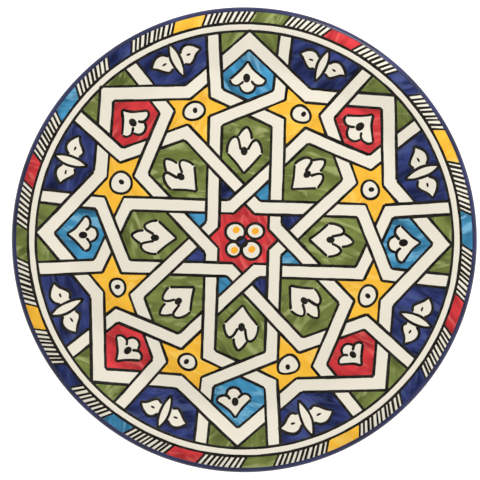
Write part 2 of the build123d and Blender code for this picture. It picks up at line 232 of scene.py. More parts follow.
def smooth_line(points, steps=7):
    """A soft curve through some points."""
    line = []
    for i in range(len(points) - 1):
        a, b, c, d = (points[min(max(i + n, 0), len(points) - 1)] for n in (-1, 0, 1, 2))
        for n in range(steps):
            t = n / steps
            line.append(tuple(
                0.5 * (2 * q + (r - p) * t + (2 * p - 5 * q + 4 * r - s) * t * t
                       + (3 * q - p - 3 * r + s) * t ** 3)
                for p, q, r, s in zip(a, b, c, d)
            ))
    return line + [points[-1]]


def resampled(points, spacing, closed=True):
    """The same line with extra points, so that no side is longer than the spacing."""
    line = []
    ends = points[1:] + points[:1] if closed else points[1:]
    for a, b in zip(points, ends):
        count = max(1, math.ceil(math.dist(a, b) / spacing))
        way = (b[0] - a[0], b[1] - a[1])
        line += [(a[0] + way[0] * i / count, a[1] + way[1] * i / count) for i in range(count)]
    return line if closed else line + [points[-1]]


def inside(point, polygon):
    """Whether a point lies in a polygon."""
    x, y = point
    odd = False
    for (ax, ay), (bx, by) in zip(polygon, polygon[1:] + polygon[:1]):
        if (ay > y) != (by > y) and x < (bx - ax) * (y - ay) / (by - ay) + ax:
            odd = not odd
    return odd


def edge_distance(point, loops):
    """How far a point is from the nearest side of some closed loops."""
    x, y = point
    nearest = 1e9
    for loop in loops:
        for (ax, ay), (bx, by) in zip(loop, loop[1:] + loop[:1]):
            dx, dy = bx - ax, by - ay
            t = max(0.0, min(1.0, ((x - ax) * dx + (y - ay) * dy) / (dx * dx + dy * dy)))
            nearest = min(nearest, math.hypot(x - ax - dx * t, y - ay - dy * t))
    return nearest


# ======================= sections of the turned form =======================
def curved(points, radii, steps=10):
    """A section line whose inner corners are rounded to the given radii."""
    line = [points[0]]
    for before, corner, after, radius in zip(points, points[1:], points[2:], radii):
        u, v = unit(corner, before), unit(corner, after)
        half = math.acos(max(-1, min(1, u[0] * v[0] + u[1] * v[1]))) / 2
        reach = radius / math.tan(half)
        start = (corner[0] + u[0] * reach, corner[1] + u[1] * reach)
        end = (corner[0] + v[0] * reach, corner[1] + v[1] * reach)
        across = ((u[0] + v[0]), (u[1] + v[1]))
        scale = radius / math.sin(half) / math.hypot(*across)
        centre = (corner[0] + across[0] * scale, corner[1] + across[1] * scale)
        a = math.atan2(start[1] - centre[1], start[0] - centre[0])
        b = math.atan2(end[1] - centre[1], end[0] - centre[0])
        sweep = (b - a + math.pi) % (2 * math.pi) - math.pi
        for i in range(steps + 1):
            t = a + sweep * i / steps
            line.append((centre[0] + radius * math.cos(t), centre[1] + radius * math.sin(t)))
    return line + [points[-1]]


def lip_arc(start, tip, end, steps=14):
    """Round nose of the lip through three points."""
    middle = (start[1] + end[1]) / 2
    rise, run = (start[1] - end[1]) / 2, tip[0] - start[0]
    radius = (rise ** 2 + run ** 2) / (2 * run)
    centre = (tip[0] - radius, middle)
    a = math.atan2(start[1] - middle, start[0] - centre[0])
    b = math.atan2(end[1] - middle, end[0] - centre[0])
    return [
        (centre[0] + radius * math.cos(a + (b - a) * i / steps),
         middle + radius * math.sin(a + (b - a) * i / steps))
        for i in range(steps + 1)
    ]


def lifted(points, height):
    """The same line of the section at another height."""
    return [(x, y + height) for x, y in points]


BACK_Z = WELL_Z - CLAY_T
LIP_BACK_Z = LIP_Z - LIP_T
LIP_MID_Z = (LIP_Z + LIP_BACK_Z) / 2
FACE_CORNERS = [(0, WELL_Z), (WELL_R, WELL_Z), (WALL_TOP_R, CREST_Z), (FACE_END_R, LIP_Z)]
BACK_CORNERS = [(FACE_END_R, LIP_BACK_Z), (WALL_TOP_R, CREST_Z - CLAY_T), (WELL_R, BACK_Z), (0, BACK_Z)]


def spaced(line, spacing=3.0):
    """A section line with extra points on its long straight stretches."""
    return resampled(line, spacing, closed=False)


def face_section(height=0.0):
    """The face's section, from the axis out to the lip."""
    return spaced(lifted(curved(FACE_CORNERS, [WELL_CURVE, CREST_CURVE]), height))


def back_section():
    """The back's section, from the lip in to the axis."""
    return spaced(curved(BACK_CORNERS, [CREST_CURVE, WELL_CURVE]))


def nose_section(outset):
    """The lip's round nose, a coat's thickness outside the clay."""
    start, end = (FACE_END_R, LIP_Z + outset), (FACE_END_R, LIP_BACK_Z - outset)
    tip = (PLATE_R - GLAZE_T + outset, LIP_MID_Z)
    return lip_arc(start, tip, end)


# ======================= nodes =======================
def added(tree, kind, values, properties):
    """Adds a node to a tree, fills its sockets in order (None skips one) and returns its outputs."""
    node = tree.nodes.new(kind)
    for key, value in properties.items():
        setattr(node, key, value)
    for socket, value in zip(node.inputs, values):
        if isinstance(value, bpy.types.NodeSocket):
            tree.links.new(value, socket)
        elif value is not None:
            socket.default_value = value
    return node.outputs


class Tree:
    """A geometry node tree under construction, with named inputs."""

    def __init__(self, name, inputs):
        self.group = bpy.data.node_groups.new(name, "GeometryNodeTree")
        self.group.is_modifier = True
        sockets = self.group.interface
        sockets.new_socket("Geometry", in_out="INPUT", socket_type="NodeSocketGeometry")
        for label, kind in inputs:
            sockets.new_socket(label, in_out="INPUT", socket_type=f"NodeSocket{kind}")
        sockets.new_socket("Geometry", in_out="OUTPUT", socket_type="NodeSocketGeometry")
        self.source = self.group.nodes.new("NodeGroupInput").outputs

    def node(self, kind, *values, out=0, **properties):
        """Adds a node and returns one of its outputs."""
        return added(self.group, kind, values, properties)[out]

    def math(self, operation, *values):
        """A sum of two or three values."""
        return self.node("ShaderNodeMath", *values, operation=operation)

    def noise(self, position, scale, detail=1.0, colour=False):
        """Noise over the plate's plane; colour gives three independent values."""
        return self.node(
            "ShaderNodeTexNoise", position, None, scale, detail, out=1 if colour else 0,
            noise_dimensions="3D",
        )

    def finish(self, geometry, material):
        """Realizes instances, sets the material and ends the tree."""
        real = self.node("GeometryNodeRealizeInstances", geometry)
        painted = self.node("GeometryNodeSetMaterial", real, None, material)
        self.group.links.new(painted, self.group.nodes.new("NodeGroupOutput").inputs[0])
        return self.group


def wander_offset(tree, amount):
    """Sideways stray of the hand: the same at one spot for every line and coat."""
    position = tree.node("GeometryNodeInputPosition")
    slow = tree.noise(position, SLOW_STRAY, colour=True)
    quick = tree.noise(position, QUICK_STRAY, colour=True)
    centred = [
        tree.node("ShaderNodeVectorMath", noise, (0.5, 0.5, 0.5), operation="SUBTRACT")
        for noise in (slow, quick)
    ]
    small = tree.node("ShaderNodeVectorMath", centred[1], [QUICK_SHARE] * 3, operation="MULTIPLY")
    total = tree.node("ShaderNodeVectorMath", centred[0], small, operation="ADD")
    flat = tree.node("ShaderNodeVectorMath", total, (1, 1, 0), operation="MULTIPLY")
    scaled = tree.group.nodes.new("ShaderNodeVectorMath")
    scaled.operation = "SCALE"
    tree.group.links.new(flat, scaled.inputs[0])
    tree.group.links.new(amount, scaled.inputs["Scale"])
    return scaled.outputs[0]


def laid_on_glaze(tree, geometry, glaze):
    """Lifts flat geometry onto the glazed face, straight up."""
    above = 0.2
    position = tree.node("GeometryNodeInputPosition")
    x = tree.node("ShaderNodeSeparateXYZ", position, out=0)
    y = tree.node("ShaderNodeSeparateXYZ", position, out=1)
    start = tree.node("ShaderNodeCombineXYZ", x, y, above)
    face = tree.node("GeometryNodeObjectInfo", glaze, False, out=4, transform_space="ORIGINAL")
    ray = tree.group.nodes.new("GeometryNodeRaycast")
    tree.group.links.new(face, ray.inputs["Target Geometry"])
    tree.group.links.new(start, ray.inputs["Source Position"])
    ray.inputs["Ray Direction"].default_value = (0, 0, -1)
    ray.inputs["Ray Length"].default_value = above * 2
    height = tree.node("ShaderNodeSeparateXYZ", ray.outputs["Hit Position"], out=2)
    lift = tree.node("ShaderNodeCombineXYZ", 0.0, 0.0, height)
    return tree.node("GeometryNodeSetPosition", geometry, ray.outputs["Is Hit"], None, lift)


def turning_tree():
    """Turns a section about the plate's axis."""
    tree = Tree("Turned section", [("Steps", "Int"), ("Material", "Material")])
    geometry, steps, material = tree.source[:3]
    section = tree.node("GeometryNodeMeshToCurve", geometry)
    rail = tree.node("GeometryNodeCurvePrimitiveCircle", steps, None, None, None, MM)
    rail = tree.node("GeometryNodeSetCurveNormal", rail, mode="Z_UP")
    body = tree.node("GeometryNodeCurveToMesh", rail, section, 1.0, False)
    body = tree.node("GeometryNodeMergeByDistance", body, None, 1e-6)
    body = tree.node("GeometryNodeSetShadeSmooth", body)
    return tree.finish(body, material)


def brush_tree():
    """Brushes strokes along polylines and lays them on the glazed face."""
    tree = Tree("Brush strokes", [
        ("Glaze", "Object"), ("Width", "Float"), ("Relief", "Float"), ("Wander", "Float"),
        ("Taper", "Float"), ("Spacing", "Float"), ("Sides", "Int"), ("Material", "Material"),
    ])
    geometry, glaze, width, relief, wander, taper, spacing, sides, material = tree.source[:9]
    line = tree.node("GeometryNodeMeshToCurve", geometry)
    line = tree.node("GeometryNodeResampleCurve", line, None, None, spacing, mode="LENGTH")
    pressure = tree.node("GeometryNodeInputNamedAttribute", "pressure", data_type="FLOAT")
    line = tree.node("GeometryNodeSetPosition", line, None, None, wander_offset(tree, wander))
    line = tree.node("GeometryNodeSetCurveNormal", line, mode="Z_UP")

    along = tree.node("GeometryNodeSplineParameter", out=1)
    left = tree.math("SUBTRACT", tree.node("GeometryNodeSplineLength"), along)
    end = tree.math("MINIMUM", along, left)
    share = tree.math("MINIMUM", tree.math("DIVIDE", end, taper), 1.0)
    rounded = tree.math("SQRT", tree.math("MULTIPLY", share, tree.math("SUBTRACT", 2.0, share)))
    closed = tree.node("GeometryNodeInputSplineCyclic")
    tip = tree.math("MAXIMUM", tree.math("MAXIMUM", rounded, closed), TIP_SHARE)
    position = tree.node("GeometryNodeInputPosition")
    swell = tree.math("MULTIPLY_ADD", tree.noise(position, SWELL_WAVES, 2.0), SWELL, THINNEST)
    size = tree.math("MULTIPLY", tree.math("MULTIPLY", tip, swell), pressure)

    ring = tree.node("GeometryNodeCurvePrimitiveCircle", sides, None, None, None, 1.0)
    half = tree.math("MULTIPLY", width, 0.5)
    flat = tree.node("ShaderNodeCombineXYZ", half, relief, 1.0)
    profile = tree.node("GeometryNodeTransform", ring, None, None, flat)
    stroke = tree.node("GeometryNodeCurveToMesh", line, profile, size, True)
    stroke = tree.node("GeometryNodeSetShadeSmooth", stroke)
    return tree.finish(laid_on_glaze(tree, stroke, glaze), material)


def coat_tree():
    """Lays flat coats of colour on the glazed face, strayed like the lines round them."""
    tree = Tree("Painted coat", [("Glaze", "Object"), ("Wander", "Float"), ("Material", "Material")])
    geometry, glaze, wander, material = tree.source[:4]
    coat = tree.node("GeometryNodeSetPosition", geometry, None, None, wander_offset(tree, wander))
    coat = tree.node("GeometryNodeSetShadeSmooth", coat)
    return tree.finish(laid_on_glaze(tree, coat, glaze), material)


def set_up(name, maker):
    """A tree that is made once and used again."""
    return bpy.data.node_groups.get(name) or maker()


def worked(piece, group, values):
    """Runs a piece through a node tree and keeps the result as its plain mesh."""
    modifier = piece.modifiers.new(group.name, "NODES")
    modifier.node_group = group
    for item in group.interface.items_tree:
        if item.item_type == "SOCKET" and item.in_out == "INPUT" and item.name in values:
            modifier[item.identifier] = values[item.name]
    piece.update_tag()
    graph = bpy.context.evaluated_depsgraph_get()
    mesh = bpy.data.meshes.new_from_object(
        piece.evaluated_get(graph), preserve_all_data_layers=True, depsgraph=graph,
    )
    piece.modifiers.clear()
    rough, piece.data = piece.data, mesh
    bpy.data.meshes.remove(rough)
    mesh.name = piece.name
    mesh.set_sharp_from_angle(angle=math.radians(40))
    return piece


# ======================= materials =======================
class Finish:
    """A material under construction."""

    def __init__(self, name, roughness, coat=0.2):
        self.material = bpy.data.materials.new(name)
        self.material.use_nodes = True
        self.tree = self.material.node_tree
        self.shader = self.tree.nodes["Principled BSDF"]
        self.shader.inputs["Roughness"].default_value = roughness
        self.shader.inputs["Coat Weight"].default_value = coat
        self.shader.inputs["Coat Roughness"].default_value = 0.06
        self.shader.inputs["IOR"].default_value = 1.5
        self.shader.inputs["Specular IOR Level"].default_value = 0.35

    def node(self, kind, *values, out=0, **properties):
        """Adds a node and returns one of its outputs."""
        return added(self.tree, kind, values, properties)[out]

    def place(self):
        """Coordinates on the object, in metres."""
        return self.node("ShaderNodeTexCoord", out=3)

    def noise(self, vector, scale, detail=2.0, roughness=0.5, distortion=0.0):
        """Noise in the material."""
        texture = self.tree.nodes.new("ShaderNodeTexNoise")
        self.tree.links.new(vector, texture.inputs["Vector"])
        texture.inputs["Scale"].default_value = scale
        texture.inputs["Detail"].default_value = detail
        texture.inputs["Roughness"].default_value = roughness
        texture.inputs["Distortion"].default_value = distortion
        return texture.outputs["Fac"]

    def ramp(self, value, stops):
        """A colour or grey chosen by a value: stops are (place, colour) pairs."""
        ramp = self.tree.nodes.new("ShaderNodeValToRGB")
        self.tree.links.new(value, ramp.inputs[0])
        marks = ramp.color_ramp.elements
        for mark, (spot, shade) in zip(marks, stops):
            mark.position = spot
            mark.color = shade4(shade)
        for spot, shade in stops[2:]:
            marks.new(spot).color = shade4(shade)
        return ramp.outputs[0]

    def mixed(self, share, first, second):
        """Two colours mixed by a share of the second."""
        mix = self.tree.nodes.new("ShaderNodeMix")
        mix.data_type = "RGBA"
        for socket, value in zip((mix.inputs[0], mix.inputs[6], mix.inputs[7]), (share, first, second)):
            if isinstance(value, bpy.types.NodeSocket):
                self.tree.links.new(value, socket)
            elif isinstance(value, float):
                socket.default_value = value
            else:
                socket.default_value = shade4(value)
        return mix.outputs[2]

    def colour(self, socket):
        """Makes a socket the material's base colour."""
        self.tree.links.new(socket, self.shader.inputs["Base Color"])

    def uneven(self, vector, scale, depth):
        """Slow waves in the glaze, seen only in what it reflects."""
        bump = self.tree.nodes.new("ShaderNodeBump")
        bump.inputs["Distance"].default_value = depth
        bump.inputs["Strength"].default_value = 1.0
        self.tree.links.new(self.noise(vector, scale), bump.inputs["Height"])
        self.tree.links.new(bump.outputs[0], self.shader.inputs["Normal"])


def shade4(shade):
    """A colour with full cover; a number is a grey."""
    if isinstance(shade, (int, float)):
        return (shade, shade, shade, 1)
    return (*shade[:3], 1)


def scaled(colour, factor):
    """A colour made darker or lighter."""
    return tuple(min(1.0, c * factor) for c in colour[:3])


def cream_glaze():
    """Warm cream ground with faint clouding and a few grey specks."""
    finish = Finish("Cream glaze", 0.16)
    base = settings().colours.cream
    spot = finish.place()
    cloud = finish.noise(spot, 28.0, 3.0)
    ground = finish.ramp(cloud, [(0.3, scaled(base, 0.975)), (0.7, scaled(base, 1.02))])
    grain = finish.noise(spot, 900.0, 2.0)
    ground = finish.mixed(finish.ramp(grain, [(0.60, 0.0), (0.78, 0.10)]), ground, (0.62, 0.56, 0.45))
    cells = finish.tree.nodes.new("ShaderNodeTexVoronoi")
    finish.tree.links.new(spot, cells.inputs["Vector"])
    cells.inputs["Scale"].default_value = 95.0
    near = finish.node("ShaderNodeMath", cells.outputs["Distance"], 0.035, operation="LESS_THAN")
    pick = finish.node("ShaderNodeSeparateColor", cells.outputs["Color"])
    few = finish.node("ShaderNodeMath", pick, 0.86, operation="GREATER_THAN")
    speck = finish.node("ShaderNodeMath", near, few, operation="MULTIPLY")
    finish.colour(finish.mixed(speck, ground, (0.24, 0.22, 0.20)))
    finish.uneven(spot, 34.0, 0.0006)
    return finish.material


def black_line():
    """Nearly black brushed oxide, a little thin in places."""
    finish = Finish("Black line", 0.2)
    base = settings().colours.black
    spot = finish.place()
    thin = finish.noise(spot, 260.0, 3.0)
    stops = [(0.35, base), (0.72, (0.030, 0.027, 0.022)), (0.85, (0.060, 0.052, 0.040))]
    finish.colour(finish.ramp(thin, stops))
    finish.uneven(spot, 300.0, 0.00004)
    return finish.material


def cobalt_rim():
    """Dark cobalt of the lip, bluer where it is thin."""
    finish = Finish("Cobalt rim", 0.3, coat=0.1)
    finish.shader.inputs["Specular IOR Level"].default_value = 0.2
    base = settings().colours.cobalt
    spot = finish.place()
    cloud = finish.noise(spot, 45.0, 3.0)
    finish.colour(finish.ramp(cloud, [(0.3, scaled(base, 0.4)), (0.7, scaled(base, 1.4))]))
    return finish.material


# how dark and how light each colour's streaks run, the cover of its thin strokes and their pale colour
BRUSHED = {
    "red": (0.60, 1.32, 0.45, (0.86, 0.20, 0.18)),
    "green": (0.60, 1.40, 0.85, (0.37, 0.41, 0.16)),
    "navy": (0.28, 2.0, 0.5, (0.085, 0.115, 0.28)),
    "sky": (0.42, 1.5, 0.8, (0.20, 0.48, 0.69)),
    "yellow": (0.86, 1.1, 0.55, (1.0, 0.68, 0.16)),
    "orange": (0.9, 1.05, 0.05, (1.0, 0.6, 0.1)),
}


def brushed_colour(colour):
    """A brushed colour: streaks along each field's own direction, pools, and thin pale strokes."""
    base = getattr(settings().colours, colour)
    dark, light, thin, pale = BRUSHED[colour]
    finish = Finish(f"Brushed {colour}", 0.2)
    way = finish.node("ShaderNodeUVMap")
    stretched = finish.node("ShaderNodeMapping", way, None, None, (1.0, 3.2, 1.0))
    streaks = finish.noise(stretched, 62.0, 2.0, 0.5, 0.5)
    pools = finish.noise(way, 70.0, 1.0)
    brushed = finish.ramp(streaks, [(0.36, scaled(base, dark)), (0.50, base), (0.62, scaled(base, light))])
    pooled = finish.ramp(pools, [(0.36, scaled(base, dark)), (0.50, base), (0.63, scaled(base, light))])
    paint = finish.mixed(0.5, brushed, pooled)
    strokes = finish.noise(stretched, 46.0, 3.0, 0.55, 1.0)
    share = finish.ramp(strokes, [(0.53, 0.0), (0.64, thin)])
    finish.colour(finish.mixed(share, paint, pale))
    finish.uneven(way, 60.0, 0.0003)
    return finish.material


def bare_clay():
    """Fired clay of the foot: rough, with sandy grain."""
    finish = Finish("Bare clay", 0.85, coat=0.0)
    base = settings().colours.clay
    spot = finish.place()
    grain = finish.noise(spot, 1400.0, 4.0)
    worn = finish.noise(spot, 60.0, 3.0)
    sandy = finish.ramp(grain, [(0.3, scaled(base, 0.8)), (0.7, scaled(base, 1.15))])
    finish.colour(finish.mixed(finish.ramp(worn, [(0.4, 0.0), (0.7, 0.35)]), sandy, scaled(base, 0.6)))
    finish.uneven(spot, 1400.0, 0.0001)
    return finish.material


def finish_of(slot):
    """The material of a slot, made when it is first asked for."""
    makers = {
        "cream_glaze": cream_glaze, "black_line": black_line, "cobalt": cobalt_rim, "bare_clay": bare_clay,
    }
    key = f"finish {slot}"
    if key not in bpy.context.scene:
        bpy.context.scene[key] = makers[slot]() if slot in makers else brushed_colour(slot)
    return bpy.context.scene[key]


# ======================= piece makers =======================
def new_piece(name, verts, edges=(), faces=()):
    """An object at the origin that holds its place in its mesh."""
    mesh = bpy.data.meshes.new(name)
    mesh.from_pydata([Vector(v) for v in verts], edges, faces)
    mesh.update()
    piece = bpy.data.objects.new(name, mesh)
    bpy.context.scene.collection.objects.link(piece)
    return piece


def handed_over(piece, slot, *nodes):
    """Ties a finished piece to the frame."""
    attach(piece, "root")
    if nodes:
        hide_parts(*nodes)
    return piece


def volume_of(mesh):
    """Signed volume, positive where the faces point outwards."""
    total = 0.0
    mesh.calc_loop_triangles()
    for triangle in mesh.loop_triangles:
        a, b, c = (mesh.vertices[i].co for i in triangle.vertices)
        total += a.dot(b.cross(c)) / 6
    return total


def turned_piece(name, section, slot, *nodes):
    """A closed section, in millimetres, turned about the axis."""
    rail = 1.0
    verts = [((r - rail) * MM, -z * MM, 0) for r, z in section]
    count = len(verts)
    piece = new_piece(name, verts, [(i, (i + 1) % count) for i in range(count)])
    values = {"Steps": settings().turning_steps, "Material": finish_of(slot)}
    worked(piece, set_up("Turned section", turning_tree), values)
    if volume_of(piece.data) < 0:
        piece.data.flip_normals()
    return handed_over(piece, slot, *nodes)


def stroke_piece(name, strokes, slot, *nodes, width=1.0, spacing=0.8, wander=1.0):
    """Brush strokes along lines, in millimetres. A stroke is (points, pressure, closed)."""
    verts, edges, pressures = [], [], []
    for points, pressure, closed in strokes:
        first, count = len(verts), len(points)
        verts += [(x * MM, y * MM, 0) for x, y in points]
        edges += [(first + i, first + (i + 1) % count) for i in range(count if closed else count - 1)]
        pressures += [pressure] * count
    piece = new_piece(name, verts, edges)
    piece.data.attributes.new("pressure", "FLOAT", "POINT").data.foreach_set("value", pressures)
    brush, taper, sides = settings().brush, 0.8, 8
    worked(piece, set_up("Brush strokes", brush_tree), {
        "Glaze": bpy.data.objects["face_glaze"], "Width": brush.width * width, "Relief": brush.relief,
        "Wander": brush.wander * wander, "Taper": taper * MM, "Spacing": spacing * MM, "Sides": sides,
        "Material": finish_of(slot),
    })
    if volume_of(piece.data) < 0:
        piece.data.flip_normals()
    return handed_over(piece, slot, *nodes)


def coat_patch(outline, holes, hand, grid, relief):
    """Points and triangles of one closed coat, in millimetres: thin at its edges."""
    edge_step, slope_width = 1.6, 1.4
    row_share, clear_share, edge_height, sunk = 0.9, 0.45, 0.25, 0.6
    loops = [resampled(loop, min(edge_step, grid)) for loop in [outline, *holes]]
    rim, voids = loops[0], loops[1:]
    points, ties = [], []
    for loop in loops:
        first, count = len(points), len(loop)
        points += loop
        ties += [(first + i, first + (i + 1) % count) for i in range(count)]
    xs, ys = zip(*rim)
    rows = int((max(ys) - min(ys)) / grid) + 1
    columns = int((max(xs) - min(xs)) / grid) + 1
    for j in range(rows):
        for i in range(columns):
            spot = (min(xs) + (i + 0.5 * (j % 2)) * grid, min(ys) + j * grid * row_share)
            free = inside(spot, rim) and not any(inside(spot, v) for v in voids)
            if free and edge_distance(spot, loops) > clear_share * grid:
                points.append(spot)
    flat = delaunay_2d_cdt([Vector(p) for p in points], ties, [], 0, 1e-5)
    spots = [tuple(v) for v in flat[0]]
    triangles = []
    for a, b, c in flat[2]:
        middle = tuple(sum(spots[n][k] for n in (a, b, c)) / 3 for k in (0, 1))
        if inside(middle, rim) and not any(inside(middle, v) for v in voids):
            triangles.append((a, b, c))
    depth = [edge_distance(p, loops) for p in spots]
    rise = [edge_height + (1 - edge_height) * min(1.0, d / slope_width) for d in depth]
    top = [(x, y, relief * share) for (x, y), share in zip(spots, rise)]
    bottom = [(x, y, -sunk * relief) for x, y in spots]
    count = len(spots)
    uses = {}
    for triangle in triangles:
        for a, b in zip(triangle, triangle[1:] + triangle[:1]):
            uses[(a, b)] = uses.get((a, b), 0) + 1
    faces = list(triangles) + [(c + count, b + count, a + count) for a, b, c in triangles]
    faces += [(b, a, a + count, b + count) for a, b in uses if (b, a) not in uses]
    shift = (hand.uniform(-1, 1), hand.uniform(-1, 1))
    return top + bottom, faces, hand.uniform(0, 180), shift


def coat_piece(name, cells, slot, *nodes, grid=1.0, relief=1.0):
    """Coats of one colour, with a finer grid where the face curves. A cell is (outline, holes)."""
    hand = random.Random(name)
    coat = settings().coat
    spacing, height = grid * coat.grid / MM, relief * coat.relief / MM
    verts, faces, ways = [], [], []
    for outline, holes in cells:
        spots, shapes, angle, shift = coat_patch(outline, holes, hand, spacing, height)
        first = len(verts)
        verts += [(x * MM, y * MM, z * MM) for x, y, z in spots]
        faces += [tuple(i + first for i in face) for face in shapes]
        ways += [(angle, shift)] * len(shapes)
    piece = new_piece(name, verts, (), faces)
    layer = piece.data.uv_layers.new(name="UVMap")
    for polygon, (angle, shift) in zip(piece.data.polygons, ways):
        for loop in polygon.loop_indices:
            spot = piece.data.vertices[piece.data.loops[loop].vertex_index].co
            u, v = turned((spot.x, spot.y), angle)
            layer.data[loop].uv = (u + shift[0], v + shift[1])
    worked(piece, set_up("Painted coat", coat_tree), {
        "Glaze": bpy.data.objects["face_glaze"], "Wander": settings().brush.wander,
        "Material": finish_of(slot),
    })
    if volume_of(piece.data) < 0:
        piece.data.flip_normals()
    return handed_over(piece, slot, *nodes)


# ======================= the strapwork =======================
BEND_POINT = turned((BEND_R, 0), STEP / 2)
LEFT_LEG = [(BEND_POINT[0], KNEE_Y), ELBOW, (STRAP_END_X, math.sqrt(FIELD_R ** 2 - STRAP_END_X ** 2))]
RIGHT_LEG = [turned((x, -y), STEP) for x, y in LEFT_LEG]
STRAP = [*reversed(RIGHT_LEG), BEND_POINT, *LEFT_LEG]
STRAPS = [[drawn(turned(p, STEP * k)) for p in STRAP] for k in range(COPIES)]
LOOP = [drawn(turned((r, 0), STEP / 2 * i)) for i, r in enumerate([LOOP_TIP_R, LOOP_BEND_R] * COPIES)]
R3, R2, R1, BEND, L1, L2, L3 = range(7)
EVERY = range(COPIES)
SIDES = (1, -1)

STRAP_SIDES = {side: [beside(s, side * STRAP_W / 2) for s in STRAPS] for side in SIDES}
LOOP_SIDES = {side: beside(LOOP, side * LOOP_W / 2, True) for side in SIDES}


def corner(k, at, side):
    """Corner of strap k; side 1 faces the plate's centre, side -1 lies between its legs."""
    return STRAP_SIDES[side][k % COPIES][at]


def edge(k, start, side):
    """Straight stretch of strap k from one of its corners to the next."""
    return STRAP_SIDES[side][k % COPIES][start:start + 2]


def loop_corner(i, side):
    """Corner of the loop; even corners are tips, and side 1 faces the centre."""
    return LOOP_SIDES[side][i % (2 * COPIES)]


def loop_edge(i, side):
    """Straight stretch of the loop from corner i to the next, counter-clockwise."""
    return [loop_corner(i, side), loop_corner(i + 1, side)]


def centre_star():
    """Eight-pointed field in the middle."""
    points = []
    for k in EVERY:
        points.append(corner(k, BEND, 1))
        points.append(meet(edge(k, BEND, 1), edge(k + 1, R1, 1)))
    return points


def chip(k):
    """Small four-sided field outside strap k's bend."""
    return [
        corner(k, BEND, -1),
        meet(edge(k, BEND, -1), edge(k + 1, R1, 1)),
        meet(edge(k + 1, R1, 1), edge(k - 1, BEND, 1)),
        meet(edge(k - 1, BEND, 1), edge(k, R1, -1)),
    ]


def petal(j):
    """Six-sided green field on spoke j, at j steps from X."""
    return [
        meet(edge(j - 1, BEND, -1), edge(j, R1, -1)),
        meet(edge(j, R1, -1), edge(j - 2, BEND, 1)),
        corner(j - 2, L1, 1),
        meet(edge(j - 2, L1, 1), edge(j + 1, R2, 1)),
        corner(j + 1, R1, 1),
        meet(edge(j + 1, R1, 1), edge(j - 1, BEND, -1)),
    ]


def star(k):
    """Five-pointed field on the axis of strap k."""
    return [
        meet(edge(k - 1, BEND, -1), edge(k + 1, R1, -1)),
        corner(k + 1, R1, -1),
        meet(edge(k + 1, R2, -1), edge(k - 2, L1, 1)),
        corner(k - 2, L2, 1),
        meet(edge(k - 2, L2, 1), loop_edge(2 * k, 1)),
        loop_corner(2 * k + 1, 1),
        meet(edge(k + 2, R3, 1), loop_edge(2 * k + 1, 1)),
        corner(k + 2, R2, 1),
        meet(edge(k + 2, R2, 1), edge(k - 1, L1, -1)),
        corner(k - 1, L1, -1),
    ]


def kite(j):
    """Six-sided outer field on spoke j."""
    return [
        meet(edge(j - 2, L1, -1), edge(j + 1, R2, -1)),
        corner(j + 1, R2, -1),
        meet(edge(j + 1, R3, -1), loop_edge(2 * j - 1, 1)),
        loop_corner(2 * j, 1),
        meet(edge(j - 2, L2, -1), loop_edge(2 * j, 1)),
        corner(j - 2, L2, -1),
    ]


def rim_field(k):
    """Field between the loop's bend on the axis of strap k and the ring."""
    left, right = edge(k + 2, R3, 1), edge(k - 2, L2, 1)
    points = [
        meet(right, loop_edge(2 * k, -1)),
        loop_corner(2 * k + 1, -1),
        meet(left, loop_edge(2 * k + 1, -1)),
    ]
    return points + ring_arc(on_ring(left[::-1], FIELD_R), on_ring(right, FIELD_R))


def rim_triangles(j):
    """The two small fields beside the loop's tip on spoke j."""
    left, right = edge(j - 2, L2, -1), edge(j + 1, R3, -1)
    before, after = loop_edge(2 * j - 1, -1), loop_edge(2 * j, -1)
    return [
        [meet(left, after)] + ring_arc(on_ring(after[::-1], FIELD_R), on_ring(left, FIELD_R)),
        [meet(right, before)] + ring_arc(on_ring(right[::-1], FIELD_R), on_ring(before, FIELD_R)),
    ]


def strap_runs(k, side):
    """The lines along one side of strap k: each stops where the strap goes under another."""
    edges = [edge(k, start, side) for start in range(L3)]
    loop_at = 2 * k - 3
    return [
        [on_ring(edges[R3][::-1], FIELD_R), meet(edges[R3], loop_edge(loop_at, -1))],
        [meet(edges[R3], loop_edge(loop_at, 1)), corner(k, R2, side), corner(k, R1, side),
         meet(edges[R1], edge(k - 2, BEND, -1))],
        [meet(edges[R1], edge(k - 2, BEND, 1)), corner(k, BEND, side),
         meet(edges[BEND], edge(k + 1, R1, 1))],
        [meet(edges[BEND], edge(k + 1, R1, -1)), corner(k, L1, side),
         meet(edges[L1], edge(k + 3, R2, 1))],
        [meet(edges[L1], edge(k + 3, R2, -1)), corner(k, L2, side), on_ring(edges[L2], FIELD_R)],
    ]


def loop_run(j, side):
    """The line of the loop from its bend past spoke j to its next tip."""
    return [
        meet(loop_edge(2 * j, side), edge(j - 2, L2, 1)),
        loop_corner(2 * j + 1, side),
        loop_corner(2 * j + 2, side),
        meet(loop_edge(2 * j + 2, side), edge(j - 1, L2, -1)),
    ]


# ======================= small motifs =======================
def placed(points, radius, angle, facing=0):
    """Points drawn round a motif's own middle, moved to their spot of the drawing."""
    x, y = drawn(turned((radius, 0), angle))
    spots = [turned(p, angle + DRAWING_TURN + facing) for p in points]
    return [(px + x, py + y) for px, py in spots]


class Motif:
    """White shapes that a colour leaves bare, the strokes round them and their black spots.

    Everything is drawn in millimetres about the motif's own middle, with X to its tip.
    A stroke is a line and the brush's pressure.
    """

    def __init__(self, bare, strokes, blobs):
        self.bare, self.strokes, self.blobs = bare, strokes, blobs

    def at(self, radius, angle, facing=0, size=1.0, shift=(0, 0)):
        """The motif at its spot, with all its lines in plate coordinates."""
        def moved(line):
            spots = [(x * size + shift[0], y * size + shift[1]) for x, y in line]
            return placed(spots, radius, angle, facing)
        strokes = [(moved(line), pressure) for line, pressure in self.strokes]
        return Motif([moved(line) for line in self.bare], strokes, [moved(line) for line in self.blobs])


